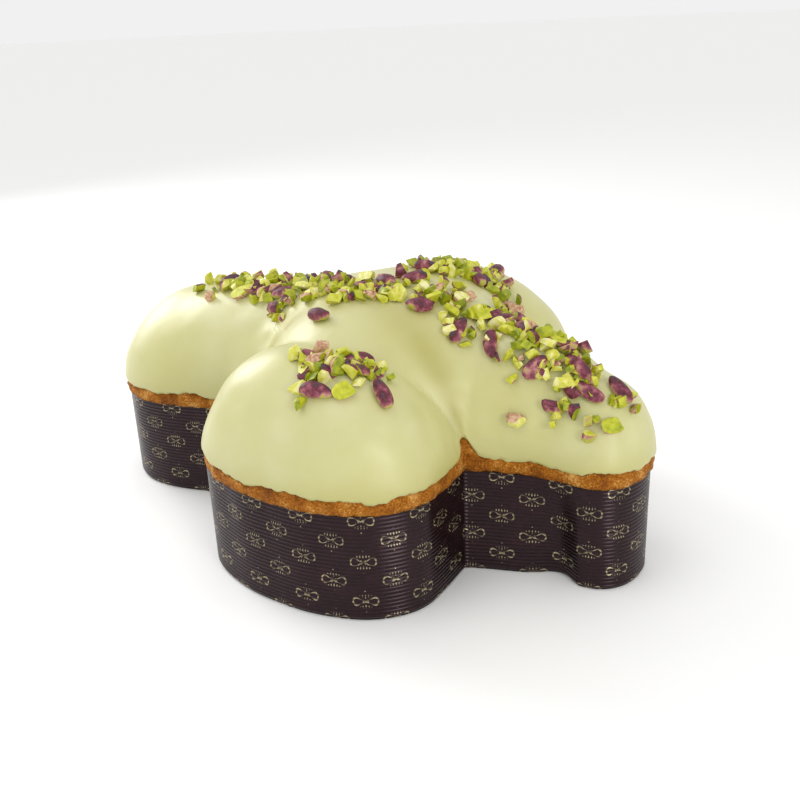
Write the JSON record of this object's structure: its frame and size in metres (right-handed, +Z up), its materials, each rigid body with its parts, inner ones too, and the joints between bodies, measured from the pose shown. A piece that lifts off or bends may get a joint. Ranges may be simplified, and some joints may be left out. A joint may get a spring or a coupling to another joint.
{
  "type": "dove-shaped cake in a paper baking mould",
  "caption": "Dove-shaped cake in a fluted paper mould, with a pale pistachio glaze poured over its domes and whole and chopped pistachios on top.",
  "frame": {"origin": "centre of the cake's outline, on the surface that it stands on", "axes": "+Z up, +X along the dove from its tail to its head, +Y across both wings"},
  "size_m": [0.3091, 0.2093, 0.1308],
  "materials": {
    "paper": "fluted, dark brown with a small cream print",
    "crust": "baked crust, matt and grainy",
    "glaze": "satin, poured and set",
    "pistachio_skin": "dry wrinkled skin",
    "pistachio_flesh": "matt cut nut"
  },
  "bodies": {
    "root": {"paper_wall": "paper", "paper_base": "paper", "loaf": "crust", "pistachio_glaze": "glaze", "whole_pistachio_01": "pistachio_skin", "whole_pistachio_02": "pistachio_skin", "whole_pistachio_03": "pistachio_skin", "whole_pistachio_04": "pistachio_skin", "whole_pistachio_05": "pistachio_skin", "whole_pistachio_06": "pistachio_skin", "whole_pistachio_07": "pistachio_skin", "whole_pistachio_08": "pistachio_skin", "whole_pistachio_09": "pistachio_skin", "whole_pistachio_10": "pistachio_skin", "whole_pistachio_11": "pistachio_skin", "whole_pistachio_12": "pistachio_skin", "whole_pistachio_13": "pistachio_skin", "whole_pistachio_14": "pistachio_skin", "whole_pistachio_15": "pistachio_skin", "whole_pistachio_16": "pistachio_skin", "whole_pistachio_17": "pistachio_skin", "whole_pistachio_18": "pistachio_skin", "whole_pistachio_19": "pistachio_skin", "whole_pistachio_20": "pistachio_skin", "chopped_pistachio_01": "pistachio_flesh", "chopped_pistachio_02": "pistachio_flesh", "chopped_pistachio_03": "pistachio_flesh", "chopped_pistachio_04": "pistachio_flesh", "chopped_pistachio_05": "pistachio_flesh", "chopped_pistachio_06": "pistachio_flesh", "chopped_pistachio_07": "pistachio_flesh", "chopped_pistachio_08": "pistachio_flesh", "chopped_pistachio_09": "pistachio_flesh", "chopped_pistachio_10": "pistachio_flesh", "chopped_pistachio_11": "pistachio_flesh", "chopped_pistachio_12": "pistachio_flesh", "chopped_pistachio_13": "pistachio_flesh", "chopped_pistachio_14": "pistachio_flesh", "chopped_pistachio_15": "pistachio_flesh", "chopped_pistachio_16": "pistachio_flesh", "chopped_pistachio_17": "pistachio_flesh", "chopped_pistachio_18": "pistachio_flesh", "chopped_pistachio_19": "pistachio_flesh", "chopped_pistachio_20": "pistachio_flesh", "chopped_pistachio_21": "pistachio_flesh", "chopped_pistachio_22": "pistachio_flesh", "chopped_pistachio_23": "pistachio_flesh", "chopped_pistachio_24": "pistachio_flesh", "chopped_pistachio_25": "pistachio_flesh", "chopped_pistachio_26": "pistachio_flesh", "chopped_pistachio_27": "pistachio_flesh", "chopped_pistachio_28": "pistachio_flesh", "chopped_pistachio_29": "pistachio_flesh", "chopped_pistachio_30": "pistachio_flesh", "chopped_pistachio_31": "pistachio_flesh", "chopped_pistachio_32": "pistachio_flesh"}
  },
  "joints": []
}
